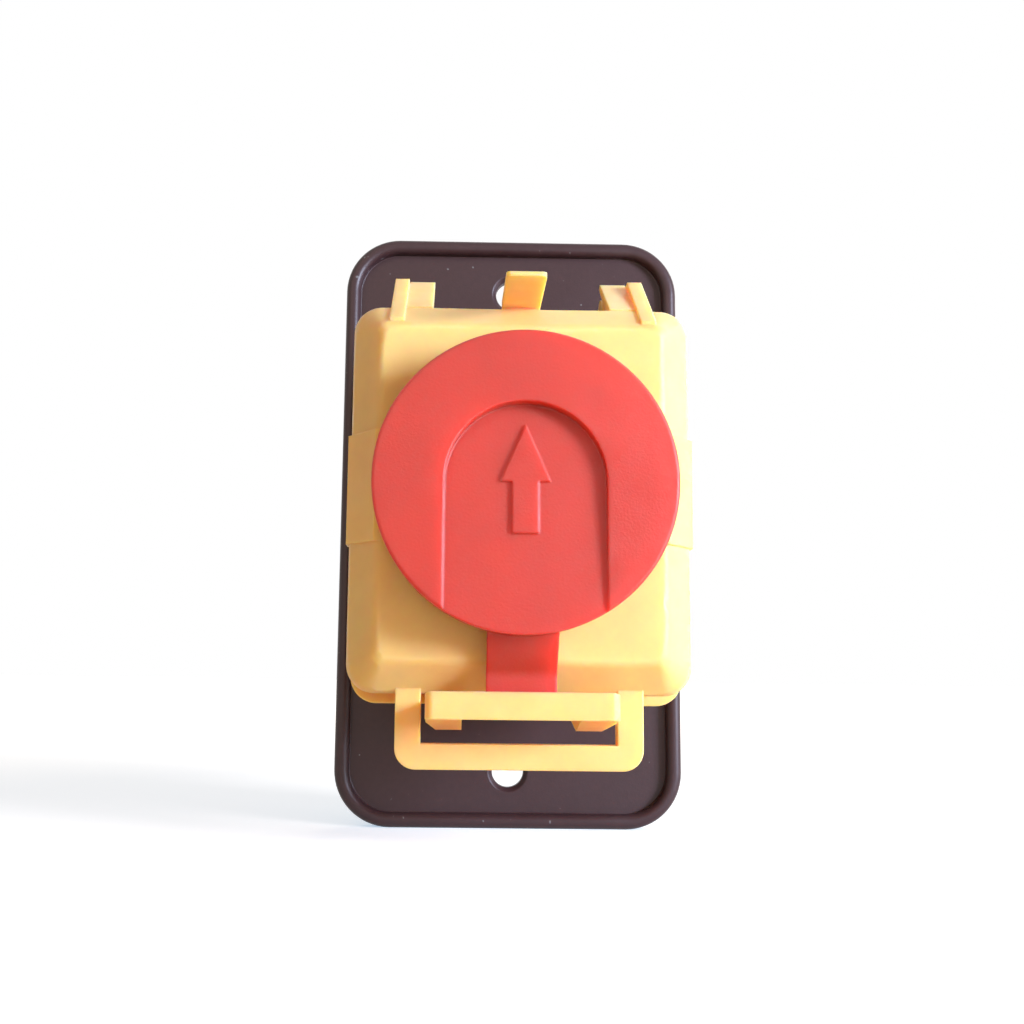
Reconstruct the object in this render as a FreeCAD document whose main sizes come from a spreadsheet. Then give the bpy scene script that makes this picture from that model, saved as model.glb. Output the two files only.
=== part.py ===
"""No-volt release switch with an emergency-stop flap, in millimetres.

The panel that carries the switch is the plane y = 0. The front of the switch faces -Y, +X is to the
right and +Z is up. The origin is on the back of the plate, midway between the two mounting holes.
"Depth" in the sheet and below is the distance in front of the panel, so depth = -y.
"""
import FreeCAD, Part
import math
import os
import re
import Sketcher
from FreeCAD import Placement, Rotation, Vector

SIZES = {
    # Plate
    "plate_width": 60.0, "plate_height": 105.0, "plate_corner": 9.75, "plate_floor": 2.2,
    "rim_width": 2.5, "rim_height": 4.2, "rim_round": 1.2,
    "mount_inset": 9.5, "mount_hole": 5.5, "mount_bevel": 0.7,
    # Switch case
    "body_width": 27.0, "body_height": 41.0, "body_depth": 30.0, "body_wall": 1.6, "body_corner": 2.0,
    "deck": 1.8, "flange_lip": 2.0, "flange_thickness": 1.0, "flange_recess": 1.1,
    "window_gap": 0.2,
    "cover_thickness": 2.0, "snap_depth": 3.0, "snap_width": 12.0, "snap_thickness": 1.2, "fit_gap": 0.1,
    "bezel_depth": 7.8, "bezel_corner": 3.0, "bezel_lip": 2.0,
    "bezel_screw_x": 9.7, "bezel_screw_bore": 2.5, "bezel_screw_length": 13.0, "bezel_boss": 5.2,
    "bezel_screw_head": 4.8, "bezel_head_height": 1.5, "bezel_head_sunk": 1.0,
    # Buttons
    "button_width": 15.0, "button_height": 13.0, "button_corner": 2.0, "button_edge": 0.7,
    "button_pitch": 21.0, "button_gap": 0.25, "button_step": 1.0, "button_flange": 1.5, "button_travel": 3.6,
    "start_proud": 2.0, "stop_proud": 7.0, "button_bore": 9.0, "button_roof": 1.5,
    "stem_diameter": 5.0, "stem_gap": 0.1, "spring_wire": 0.7, "spring_diameter": 6.9, "spring_turns": 4.0,
    # Magnet and contacts
    "carrier_front": 0.6, "carrier_depth": 9.4, "carrier_width": 9.0, "carrier_height": 15.0,
    "armature_width": 20.4, "armature_height": 8.0, "armature_thickness": 1.2, "hold_gap": 0.25,
    "core_width": 20.0, "core_leg": 2.0, "core_post": 6.0,
    "bobbin_flange": 14.0, "bobbin_wall": 1.0, "winding_diameter": 13.4,
    "blade_width": 6.3, "blade_thickness": 0.8, "blade_length": 8.0, "blade_hole": 1.6,
    "pole_pitch": 8.4, "arm_reach": 4.8, "contact_gap": 0.1, "bridge_width": 5.0, "bridge_length": 21.0,
    "stop_contact_depth": 3.9, "stop_bridge_length": 18.0,
    # Frame
    "frame_width": 46.4, "frame_top": 26.0, "frame_bottom": 26.9, "frame_wall": 2.0, "frame_corner": 3.0,
    "frame_front": 31.0, "ledge_top": 27.0, "ledge_bottom": 30.8, "ledge_back": 25.0,
    "ledge_thickness": 3.0, "ledge_corner": 4.0,
    "post_diameter": 6.6, "post_depth": 14.0, "post_inset": 1.9, "screw_diameter": 3.0, "screw_head": 5.6,
    "screw_length": 12.0, "screw_gap": 0.1, "screw_end_gap": 1.0, "screw_slot": 0.7, "thread_gap": 0.02,
    # Hinge
    "hinge_z": 32.5, "hinge_depth": 20.5, "hinge_pin": 2.5, "hinge_gap": 0.05, "pin_seat": 0.02,
    "lug_diameter": 6.0, "lug_inner": 13.9, "lug_outer": 17.1, "lug_foot": 13.0,
    "rib_inner": 17.4, "rib_outer": 19.6, "knuckle_diameter": 7.2, "rib_top": 36.2, "rib_top_depth": 27.6,
    "rib_foot": 40.6, "rib_proud": 0.55,
    "strap_inner": 13.4, "strap_thickness": 1.4, "strap_root": 2.4, "strap_top": 36.8,
    "strap_top_depth": 24.6,
    # Staple
    "bar_half": 13.35, "bar_top": 28.6, "bar_bottom": 32.4, "bar_front": 46.0, "bar_thickness": 3.0,
    "bar_fall": 1.2, "bar_round": 1.2, "leg_inner": 8.3, "leg_top": 30.1, "leg_bottom": 34.3,
    "leg_root": 35.5, "leg_trim": 1.3,
    # Flap
    "flap_width": 50.4, "flap_top": 28.8, "flap_bottom": 29.2, "flap_corner": 4.2,
    "skirt_back": 32.5, "flap_edge": 36.0, "flap_front": 41.5, "face_inset": 4.6, "face_corner": 1.3,
    "flap_bevel": 0.9, "flap_wall": 1.8,
    "bulge_width": 51.2, "bulge_face": 42.4, "bulge_top": 8.6, "bulge_bottom": 7.6,
    "loop_outer": 17.85, "loop_inner": 14.2, "loop_bottom": 39.85, "loop_bar": 3.6, "loop_front": 37.0,
    "loop_thickness": 3.0, "loop_round": 3.0,
    "finger_width": 5.7, "finger_bottom": 28.8, "finger_thickness": 2.2, "finger_end": 0.65,
    "finger_tip": 49.5, "finger_round": 0.8,
    "presser_diameter": 8.0, "presser_wall": 1.4, "presser_tip": 20.0,
    # Mushroom head and latch
    "knob_diameter": 42.0, "knob_front": 50.0, "knob_height": 5.4, "knob_wall": 2.2, "knob_bevel": 0.3,
    "recess_half": 11.1, "recess_apex": 10.9, "recess_end": 25.0, "recess_depth": 2.0,
    "arrow_tip": 7.9, "arrow_neck": 0.1, "arrow_foot": 7.3, "arrow_half": 3.45, "shaft_half": 1.83,
    "arrow_relief": 0.5,
    "seat_width": 18.0, "seat_height": 16.0, "stem_width": 12.0, "stem_height": 8.0, "stem_z": 6.0,
    "slide_gap": 0.2, "latch_travel": 2.5, "retainer_width": 19.0, "retainer_height": 14.0,
    "retainer_thickness": 1.8, "retainer_screw": 2.2, "retainer_head": 4.2, "retainer_pitch": 6.6,
    "retainer_screw_length": 5.0, "retainer_head_height": 1.4,
    "tongue_half": 4.95, "tongue_end": 28.9, "tongue_thickness": 2.0, "tongue_knee": 26.1, "tongue_gap": 0.5,
    "tongue_start": 46.2, "tongue_root": 2.6, "tongue_round": 2.5, "hook_gap": 0.9,
}

doc = FreeCAD.newDocument("no_volt_release_switch")
sheet = doc.addObject("Spreadsheet::Sheet", "sizes")
for row, (alias, value) in enumerate(SIZES.items(), start=1):
    sheet.set(f"A{row}", alias)
    sheet.set(f"B{row}", str(value))
    sheet.setAlias(f"B{row}", alias)
doc.recompute()

TURN_TO_FRONT = Rotation(Vector(1, 0, 0), 90)
TURN_TO_BACK = Rotation(Vector(1, 0, 0), -90)
TURN_TO_RIGHT = Rotation(Vector(0, 1, 0), 90)
NEAR = 1e-4
parts = []


def formula(text):
    """The same formula with every word of the sheet written so that any object can read it."""
    def full_name(word):
        return "sizes." + word.group() if word.group() in SIZES else word.group()
    return re.sub(r"[a-z_]+", full_name, str(text))


def size(text):
    """The number that a formula in the words of the sheet stands for."""
    return float(sheet.evalExpression(str(text)))


def bind(thing, **formulas):
    """Ties properties to the sheet. A double underscore stands for a dot in the property's path."""
    for path, text in formulas.items():
        thing.setExpression(path.replace("__", "."), formula(text))
    return thing


def finish_part(thing, label):
    thing.Label = label
    parts.append(thing)
    return thing


# Sketches

def new_body(name):
    return doc.addObject("PartDesign::Body", name)


def plane_of(body, role):
    return next(feature for feature in body.Origin.OriginFeatures if feature.Role == role)


def new_sketch(body, name, offset, role="XZ_Plane"):
    """A sketch parallel to an origin plane. On XZ its offset is a depth, x is X and y is Z."""
    sketch = body.newObject("Sketcher::SketchObject", name)
    sketch.AttachmentSupport = [(plane_of(body, role), "")]
    sketch.MapMode = "FlatFace"
    bind(sketch, AttachmentOffset__Base__z=offset)
    return sketch


def constrain(sketch, kind, text, *where):
    """A dimension in a sketch, driven by the sheet."""
    index = sketch.addConstraint(Sketcher.Constraint(kind, *where, size(text)))
    sketch.setExpression(f"Constraints[{index}]", formula(text))


def pin_point(sketch, geometry, point, x, y):
    constrain(sketch, "DistanceX", x, -1, 1, geometry, point)
    constrain(sketch, "DistanceY", y, -1, 1, geometry, point)


def draw_polygon(sketch, corners):
    """A closed outline of straight edges through corners given as formulas."""
    points = [Vector(size(x), size(y), 0) for x, y in corners]
    edges = [sketch.addGeometry(Part.LineSegment(start, end))
             for start, end in zip(points, points[1:] + points[:1])]
    for edge, following in zip(edges, edges[1:] + edges[:1]):
        sketch.addConstraint(Sketcher.Constraint("Coincident", edge, 2, following, 1))
    for edge, (x, y) in zip(edges, corners):
        pin_point(sketch, edge, 1, x, y)


def draw_circle(sketch, x, y, diameter):
    circle = sketch.addGeometry(Part.Circle(Vector(size(x), size(y), 0), Vector(0, 0, 1), size(diameter) / 2))
    pin_point(sketch, circle, 3, x, y)
    constrain(sketch, "Diameter", diameter, circle)


def draw_rounded_box(sketch, half_width, top, bottom, corner):
    """A rectangle from -half_width to half_width and from -bottom to top, with round corners."""
    quarter = math.pi / 2
    half, high, low, radius = size(half_width), size(top), -size(bottom), size(corner)
    right, left = f"{half_width} - ({corner})", f"{corner} - ({half_width})"
    upper, lower = f"{top} - ({corner})", f"{corner} - ({bottom})"
    places = [(half - radius, high - radius, right, upper), (radius - half, high - radius, left, upper),
              (radius - half, low + radius, left, lower), (half - radius, low + radius, right, lower)]
    arcs = []
    for turn, (x, y, _, _) in enumerate(places):
        circle = Part.Circle(Vector(x, y, 0), Vector(0, 0, 1), radius)
        arcs.append(sketch.addGeometry(Part.ArcOfCircle(circle, turn * quarter, (turn + 1) * quarter)))
    for arc, following in zip(arcs, arcs[1:] + arcs[:1]):
        start = sketch.getPoint(arc, 2)
        end = sketch.getPoint(following, 1)
        line = sketch.addGeometry(Part.LineSegment(start, end))
        sketch.addConstraint(Sketcher.Constraint("Tangent", arc, 2, line, 1))
        sketch.addConstraint(Sketcher.Constraint("Tangent", line, 2, following, 1))
    for arc, (_, _, x_text, y_text) in zip(arcs, places):
        pin_point(sketch, arc, 3, x_text, y_text)
        constrain(sketch, "Radius", corner, arc)


def side_points(corners):
    """Corners of a side view given as (depth, height), for a sketch on the YZ plane."""
    return [(f"-({depth})", height) for depth, height in corners]


# Solid features

def new_pad(body, sketch, length, reverse=False):
    pad = body.newObject("PartDesign::Pad", sketch.Name + "_pad")
    pad.Profile = sketch
    pad.Reversed = reverse
    return bind(pad, Length=length)


def new_pocket(body, sketch, length, reverse=False):
    """Cuts from the sketch towards the back, or towards the front when reversed."""
    pocket = body.newObject("PartDesign::Pocket", sketch.Name + "_pocket")
    pocket.Profile = sketch
    pocket.Reversed = reverse
    return bind(pocket, Length=length)


def new_loft(body, first, second, kind="PartDesign::AdditiveLoft"):
    loft = body.newObject(kind, first.Name + "_loft")
    loft.Profile = first
    loft.Sections = [second]
    loft.Ruled = True
    return loft


def mirror_in_x(body, features):
    mirror = body.newObject("PartDesign::Mirrored", features[0].Name + "_mirror")
    mirror.Originals = features
    mirror.MirrorPlane = (plane_of(body, "YZ_Plane"), [""])
    body.Tip = mirror
    return mirror


def dress_edges(body, kind, wanted, **formulas):
    """Rounds or bevels the edges of the body so far for which wanted(edge) is true."""
    doc.recompute()
    before = body.Tip
    names = [f"Edge{number}" for number, edge in enumerate(before.Shape.Edges, start=1) if wanted(edge)]
    dressing = body.newObject(kind, body.Name + "_edges")
    dressing.Base = (before, names)
    return bind(dressing, **formulas)


def round_edges(body, wanted, radius):
    return dress_edges(body, "PartDesign::Fillet", wanted, Radius=radius)


def bevel_edges(body, wanted, width):
    return dress_edges(body, "PartDesign::Chamfer", wanted, Size=width)


def at_depth(depth):
    """A test for edges that lie wholly at one depth."""
    place = -size(depth)

    def test(edge):
        box = edge.BoundBox
        return abs(box.YMin - place) < NEAR and abs(box.YMax - place) < NEAR
    return test


# Primitives

def new_box(name, x, y, z, width, depth, height):
    """A box from its lowest corner."""
    block = doc.addObject("Part::Box", name)
    return bind(block, Placement__Base__x=x, Placement__Base__y=y, Placement__Base__z=z,
                Length=width, Width=depth, Height=height)


def new_rod(name, x, y, z, diameter, length):
    """A cylinder along +Y from its front end."""
    rod = doc.addObject("Part::Cylinder", name)
    rod.Placement = Placement(Vector(), TURN_TO_BACK)
    return bind(rod, Placement__Base__x=x, Placement__Base__y=y, Placement__Base__z=z,
                Radius=f"({diameter}) / 2", Height=length)


def new_cut(name, base, tool):
    cut = doc.addObject("Part::Cut", name)
    cut.Base = base
    cut.Tool = tool
    return cut


def new_fuse(name, shapes):
    fuse = doc.addObject("Part::MultiFuse", name)
    fuse.Shapes = shapes
    return fuse


def new_group(name, shapes):
    group = doc.addObject("Part::Compound", name)
    group.Links = shapes
    return group


def new_screw(name, x, y, z, head, head_height, shank, length, head_at_back, flat_head):
    """A screw along Y with a slotted head. y is the outer face of its head."""
    turn = TURN_TO_FRONT if head_at_back else TURN_TO_BACK
    if flat_head:
        top = doc.addObject("Part::Cone", name + "_head")
        bind(top, Radius1=f"({head}) / 2", Radius2=f"({shank}) / 2", Height=head_height)
    else:
        top = doc.addObject("Part::Cylinder", name + "_head")
        bind(top, Radius=f"({head}) / 2", Height=head_height)
    pin = doc.addObject("Part::Cylinder", name + "_shank")
    bind(pin, Radius=f"({shank}) / 2", Height=length)
    for piece in (top, pin):
        piece.Placement = Placement(Vector(), turn)
        bind(piece, Placement__Base__x=x, Placement__Base__y=y, Placement__Base__z=z)
    slot_front = f"{y} - ({head_height}) / 2" if head_at_back else y
    slot = new_box(name + "_slot", f"{x} - ({head}) / 2", slot_front, f"{z} - screw_slot / 2",
                   head, f"({head_height}) / 2", "screw_slot")
    return new_cut(name, new_fuse(name + "_blank", [top, pin]), slot)


def new_spring(name, z, front_y, length):
    """A compression spring of square wire along Y, between the faces at its two ends."""
    coil = doc.addObject("Part::Helix", name + "_line")
    coil.Placement = Placement(Vector(), TURN_TO_BACK)
    bind(coil, Placement__Base__y=f"{front_y} + spring_wire / 2", Placement__Base__z=z,
         Radius="(spring_diameter - spring_wire) / 2", Height=f"{length} - spring_wire",
         Pitch=f"({length} - spring_wire) / spring_turns")
    wire = doc.addObject("Part::RegularPolygon", name + "_wire")
    wire.Polygon = 4
    bind(wire, Circumradius="spring_wire / 2", Placement__Base__x="(spring_diameter - spring_wire) / 2",
         Placement__Base__y=f"{front_y} + spring_wire / 2", Placement__Base__z=z)
    spring = doc.addObject("Part::Sweep", name)
    spring.Sections = [wire]
    spring.Spine = (coil, ["Edge1"])
    spring.Solid = True
    spring.Frenet = True
    return spring


# Plate

def build_base_plate():
    body = new_body("plate_moulding")
    outline = new_sketch(body, "plate_outline", "0")
    draw_rounded_box(outline, "plate_width / 2", "plate_height / 2", "plate_height / 2", "plate_corner")
    new_pad(body, outline, "rim_height")
    tray = new_sketch(body, "plate_tray", "rim_height")
    draw_rounded_box(tray, "plate_width / 2 - rim_width", "plate_height / 2 - rim_width",
                     "plate_height / 2 - rim_width", "plate_corner - rim_width")
    new_pocket(body, tray, "rim_height - plate_floor")
    round_edges(body, at_depth("rim_height"), "rim_round")
    window = new_sketch(body, "plate_window", "plate_floor")
    draw_rounded_box(window, "body_width / 2 + window_gap", "body_height / 2 + window_gap",
                     "body_height / 2 + window_gap", "body_corner + window_gap")
    new_pocket(body, window, "plate_floor")
    recess = new_sketch(body, "plate_recess", "0")
    half_recess = "body_height / 2 + flange_lip + window_gap"
    draw_rounded_box(recess, "body_width / 2 + flange_lip + window_gap", half_recess, half_recess,
                     "bezel_corner + window_gap")
    new_pocket(body, recess, "flange_recess", reverse=True)
    holes = new_sketch(body, "plate_holes", "plate_floor")
    for side in ("", "-"):
        draw_circle(holes, "0", f"{side}(plate_height / 2 - mount_inset)", "mount_hole")
    for x, z in screw_places():
        draw_circle(holes, x, z, "screw_diameter + 2 * screw_gap")
    new_pocket(body, holes, "plate_floor")
    at_floor, reach = at_depth("plate_floor"), size("plate_height / 2 - mount_inset")

    def mount_hole_edge(edge):
        middle = edge.BoundBox.Center
        return at_floor(edge) and abs(middle.x) < NEAR and abs(abs(middle.z) - reach) < NEAR
    bevel_edges(body, mount_hole_edge, "mount_bevel")
    tapers = [new_taper(f"plate_sink_{number}", x, z) for number, (x, z) in enumerate(screw_places())]
    sunk = new_cut("base_plate_sunk", body, new_group("plate_sinks", tapers))
    finish_part(sunk, "base_plate")


def screw_places():
    """The frame's four screws, one in each of its corner posts."""
    reach = "(frame_width / 2 - frame_wall - post_inset)"
    high = "(frame_top - frame_wall - post_inset)"
    low = "-(frame_bottom - frame_wall - post_inset)"
    return [(f"{side}{reach}", level) for level in (high, low) for side in ("", "-")]


def new_taper(name, x, z):
    """The space that a countersunk screw head takes in the back of the plate."""
    taper = doc.addObject("Part::Cone", name)
    taper.Placement = Placement(Vector(), TURN_TO_FRONT)
    return bind(taper, Placement__Base__x=x, Placement__Base__z=z, Radius1="screw_head / 2 + screw_gap",
                Radius2="screw_diameter / 2 + screw_gap", Height="(screw_head - screw_diameter) / 2")


# Frame with the hinge lugs and the staple

def build_hinge_frame():
    body = new_body("hinge_frame")
    walls = new_sketch(body, "frame_walls", "plate_floor")
    draw_rounded_box(walls, "frame_width / 2", "frame_top", "frame_bottom", "frame_corner")
    draw_rounded_box(walls, "frame_width / 2 - frame_wall", "frame_top - frame_wall",
                     "frame_bottom - frame_wall", "frame_corner - frame_wall")
    new_pad(body, walls, "frame_front - plate_floor")
    ledge = new_sketch(body, "frame_ledge", "ledge_back")
    draw_rounded_box(ledge, "flap_width / 2", "ledge_top", "ledge_bottom", "ledge_corner")
    draw_rounded_box(ledge, "frame_width / 2 - frame_wall", "frame_top - frame_wall",
                     "frame_bottom - frame_wall", "frame_corner - frame_wall")
    new_pad(body, ledge, "ledge_thickness")
    posts = new_sketch(body, "frame_posts", "plate_floor")
    bores = new_sketch(body, "frame_bores", "plate_floor")
    for x, z in screw_places():
        draw_circle(posts, x, z, "post_diameter")
        draw_circle(bores, x, z, "screw_diameter")
    new_pad(body, posts, "post_depth")
    new_pocket(body, bores, "screw_length - plate_floor + screw_end_gap", reverse=True)
    build_lugs(body)
    build_staple(body)
    finish_part(body, "hinge_frame")


def build_lugs(body):
    """Two hinge lugs on top of the frame, each a round eye on a flared foot."""
    foot = new_sketch(body, "lug_side", "lug_inner", "YZ_Plane")
    draw_polygon(foot, side_points([
        ("hinge_depth - lug_foot / 2", "frame_top - frame_wall / 2"),
        ("hinge_depth + lug_foot / 2", "frame_top - frame_wall / 2"),
        ("hinge_depth + lug_diameter / 2", "hinge_z"),
        ("hinge_depth - lug_diameter / 2", "hinge_z")]))
    eye = new_sketch(body, "lug_eye", "lug_inner", "YZ_Plane")
    draw_circle(eye, "-hinge_depth", "hinge_z", "lug_diameter")
    pads = [new_pad(body, sketch, "lug_outer - lug_inner") for sketch in (foot, eye)]
    mirror_in_x(body, pads)
    bore = new_sketch(body, "lug_bore", "-lug_outer", "YZ_Plane")
    draw_circle(bore, "-hinge_depth", "hinge_z", "hinge_pin + 2 * pin_seat")
    new_pocket(body, bore, "2 * lug_outer", reverse=True)


def build_staple(body):
    """The bar that the tongue hooks behind, on two legs that reach forward through the hasp loop."""
    leg = new_sketch(body, "staple_leg", "leg_inner", "YZ_Plane")
    draw_polygon(leg, side_points([
        ("ledge_back", "-frame_bottom"),
        ("ledge_back", "-(ledge_bottom + leg_bottom) / 2"),
        ("leg_root", "-leg_bottom"),
        ("bar_front - bar_thickness", "-bar_bottom"),
        ("bar_front - bar_thickness", "-leg_top"),
        ("ledge_back + ledge_thickness", "-leg_top"),
        ("ledge_back + ledge_thickness", "-frame_bottom")]))
    mirror_in_x(body, [new_pad(body, leg, "bar_half - leg_inner")])
    bar = new_sketch(body, "staple_bar", "-bar_half", "YZ_Plane")
    draw_polygon(bar, side_points([
        ("bar_front - bar_thickness", "-bar_top - bar_fall"),
        ("bar_front", "-bar_top"),
        ("bar_front", "-bar_bottom"),
        ("bar_front - bar_thickness", "-bar_bottom")]))
    new_pad(body, bar, "2 * bar_half")
    trim = new_sketch(body, "leg_trims", "bar_front")
    for side in ("", "-"):
        draw_polygon(trim, [(f"{side}bar_half", "leg_trim - leg_bottom"), (f"{side}bar_half", "-leg_bottom"),
                            (f"{side}(bar_half - leg_trim)", "-leg_bottom")])
    new_pocket(body, trim, "bar_front - ledge_back - ledge_thickness")
    half, front = size("bar_half"), size("bar_front")

    def bar_end(edge):
        box = edge.BoundBox
        upright = box.XLength < NEAR and box.YLength < NEAR
        return upright and abs(abs(box.Center.x) - half) < NEAR and abs(box.Center.y + front) < NEAR
    round_edges(body, bar_end, "bar_round")


# Flap

def build_flap_cover():
    body = new_body("flap_cover")
    skirt = new_sketch(body, "flap_skirt", "skirt_back")
    draw_rounded_box(skirt, "flap_width / 2", "flap_top", "flap_bottom", "flap_corner")
    new_pad(body, skirt, "flap_edge - skirt_back")
    edge = new_sketch(body, "flap_slope_edge", "flap_edge")
    draw_rounded_box(edge, "flap_width / 2", "flap_top", "flap_bottom", "flap_corner")
    face = new_sketch(body, "flap_slope_face", "flap_front")
    draw_rounded_box(face, "flap_width / 2 - face_inset", "flap_top - face_inset",
                     "flap_bottom - face_inset", "face_corner")
    new_loft(body, edge, face)
    at_face, at_edge = at_depth("flap_front"), at_depth("flap_edge")
    bevel_edges(body, lambda line: at_face(line) or at_edge(line), "flap_bevel")
    bulge = new_sketch(body, "flap_bulge", "-bulge_bottom", "XY_Plane")
    right = [("bulge_width / 2", "-skirt_back"), ("bulge_width / 2", "-flap_edge"),
             ("bulge_face / 2", "-flap_front")]
    draw_polygon(bulge, right + [(f"-{x}", y) for x, y in reversed(right)])
    new_pad(body, bulge, "bulge_top + bulge_bottom")
    build_hinge_arms(body)
    build_hasp_loop(body)
    build_finger(body)
    hollow_flap(body)
    tube = new_sketch(body, "presser_tube", "presser_tip")
    draw_circle(tube, "0", "-button_pitch / 2", "presser_diameter")
    draw_circle(tube, "0", "-button_pitch / 2", "presser_diameter - 2 * presser_wall")
    new_pad(body, tube, "flap_front - flap_wall / 2 - presser_tip")
    slot = new_sketch(body, "knob_slot", "flap_front")
    draw_polygon(slot, rectangle("stem_width / 2 + slide_gap", "stem_z + stem_height / 2 + slide_gap",
                                 "-(stem_z - stem_height / 2 - latch_travel - slide_gap)"))
    new_pocket(body, slot, "2 * flap_wall")
    finish_part(body, "flap_cover")


def rectangle(half_width, top, bottom):
    return [(f"-({half_width})", f"-({bottom})"), (half_width, f"-({bottom})"), (half_width, top),
            (f"-({half_width})", top)]


def hollow_flap(body):
    """The cavity of the flap, one wall inside its skirt, slopes and face."""
    inside = new_sketch(body, "flap_inside", "skirt_back")
    draw_rounded_box(inside, "flap_width / 2 - flap_wall", "flap_top - flap_wall",
                     "flap_bottom - flap_wall", "flap_corner - flap_wall")
    new_pocket(body, inside, "flap_edge - skirt_back", reverse=True)
    low = new_sketch(body, "flap_inside_edge", "flap_edge")
    draw_rounded_box(low, "flap_width / 2 - flap_wall", "flap_top - flap_wall",
                     "flap_bottom - flap_wall", "flap_corner - flap_wall")
    high = new_sketch(body, "flap_inside_face", "flap_front - flap_wall")
    face_step = "(face_inset + flap_wall / 2)"
    draw_rounded_box(high, f"flap_width / 2 - {face_step}", f"flap_top - {face_step}",
                     f"flap_bottom - {face_step}", "face_corner / 2")
    new_loft(body, low, high, "PartDesign::SubtractiveLoft")


def build_hinge_arms(body):
    """Two arms over the top edge. Each has a rib with the eye, and a strap set back that covers the lug."""
    rib = new_sketch(body, "arm_rib", "rib_inner", "YZ_Plane")
    slope = "(flap_top - (rib_foot - flap_edge) * face_inset / (flap_front - flap_edge))"
    draw_polygon(rib, side_points([
        ("rib_foot", f"{slope} - flap_wall / 2"),
        ("rib_foot", f"{slope} + rib_proud"),
        ("rib_top_depth", "rib_top"),
        ("hinge_depth", "hinge_z + knuckle_diameter / 2"),
        ("hinge_depth - knuckle_diameter / 4", "hinge_z"),
        ("hinge_depth", "hinge_z - knuckle_diameter / 2"),
        ("skirt_back", "flap_top - flap_wall / 2")]))
    eye = new_sketch(body, "arm_eye", "rib_inner", "YZ_Plane")
    draw_circle(eye, "-hinge_depth", "hinge_z", "knuckle_diameter")
    strap = new_sketch(body, "arm_strap", "strap_inner", "YZ_Plane")
    draw_polygon(strap, side_points([
        ("flap_edge - flap_wall / 2", "flap_top - flap_wall / 2"),
        ("flap_edge", "flap_top"),
        ("strap_top_depth", "strap_top"),
        ("strap_top_depth - strap_thickness", "strap_top - strap_thickness / 4"),
        ("flap_edge - strap_root", "flap_top - flap_wall / 2")]))
    pads = [new_pad(body, rib, "rib_outer - rib_inner"), new_pad(body, eye, "rib_outer - rib_inner"),
            new_pad(body, strap, "rib_inner - strap_inner")]
    mirror_in_x(body, pads)
    bore = new_sketch(body, "arm_bore", "-rib_outer", "YZ_Plane")
    draw_circle(bore, "-hinge_depth", "hinge_z", "hinge_pin + 2 * hinge_gap")
    new_pocket(body, bore, "2 * rib_outer", reverse=True)


def build_hasp_loop(body):
    loop = new_sketch(body, "hasp_loop", "loop_front - loop_thickness")
    hidden_top = "-(flap_bottom - flap_wall / 2)"
    inner_bottom = "loop_bar - loop_bottom"
    draw_polygon(loop, [("-loop_outer", hidden_top), ("-loop_outer", "-loop_bottom"),
                        ("loop_outer", "-loop_bottom"), ("loop_outer", hidden_top),
                        ("loop_inner", hidden_top), ("loop_inner", inner_bottom),
                        ("-loop_inner", inner_bottom), ("-loop_inner", hidden_top)])
    new_pad(body, loop, "loop_thickness")
    outer, bottom = size("loop_outer"), -size("loop_bottom")

    def outer_corner(edge):
        box = edge.BoundBox
        across = box.XLength < NEAR and box.ZLength < NEAR
        return across and abs(abs(box.Center.x) - outer) < NEAR and abs(box.Center.z - bottom) < NEAR
    round_edges(body, outer_corner, "loop_round")


def build_finger(body):
    """The open-stop finger on the top edge. It meets the plate's rim when the flap is fully open."""
    finger = new_sketch(body, "stop_finger", "-finger_width / 2", "YZ_Plane")
    draw_polygon(finger, side_points([
        ("skirt_back", "flap_top - flap_wall / 2"),
        ("flap_edge", "flap_top - flap_wall / 2"),
        ("flap_edge", "flap_top"),
        ("finger_tip", "finger_bottom"),
        ("finger_tip", "finger_bottom + finger_end"),
        ("skirt_back", "finger_bottom + finger_thickness")]))
    new_pad(body, finger, "finger_width")
    tip = -size("finger_tip")

    def tip_corner(edge):
        box = edge.BoundBox
        return box.XLength < NEAR and box.YLength < NEAR and abs(box.Center.y - tip) < NEAR
    round_edges(body, tip_corner, "finger_round")


# Mushroom head with the latch tongue, and what holds it in the flap

def build_mushroom_head():
    body = new_body("mushroom_head")
    rim = new_sketch(body, "knob_rim", "knob_front - knob_height")
    draw_circle(rim, "0", "0", "knob_diameter")
    new_pad(body, rim, "knob_height")
    bevel_edges(body, at_depth("knob_front"), "knob_bevel")
    under = new_sketch(body, "knob_under", "knob_front - knob_height")
    draw_circle(under, "0", "0", "knob_diameter - 2 * knob_wall")
    new_pocket(body, under, "knob_height - knob_wall - recess_depth", reverse=True)
    seat = new_sketch(body, "knob_seat", "flap_front + slide_gap")
    draw_polygon(seat, rectangle("seat_width / 2", "stem_z + seat_height / 2", "seat_height / 2 - stem_z"))
    new_pad(body, seat, "knob_front - flap_front - slide_gap - recess_depth - knob_wall / 2")
    stem = new_sketch(body, "knob_stem", "flap_front - flap_wall - slide_gap")
    draw_polygon(stem, rectangle("stem_width / 2", "stem_z + stem_height / 2", "stem_height / 2 - stem_z"))
    new_pad(body, stem, "flap_wall + 3 * slide_gap")
    bores = new_sketch(body, "knob_bores", "flap_front - flap_wall - slide_gap")
    for side in ("", "-"):
        draw_circle(bores, f"{side}retainer_pitch / 2", "stem_z", "retainer_screw")
    new_pocket(body, bores, "retainer_screw_length", reverse=True)
    build_recess(body)
    build_tongue(body)
    finish_part(body, "mushroom_head")


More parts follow.
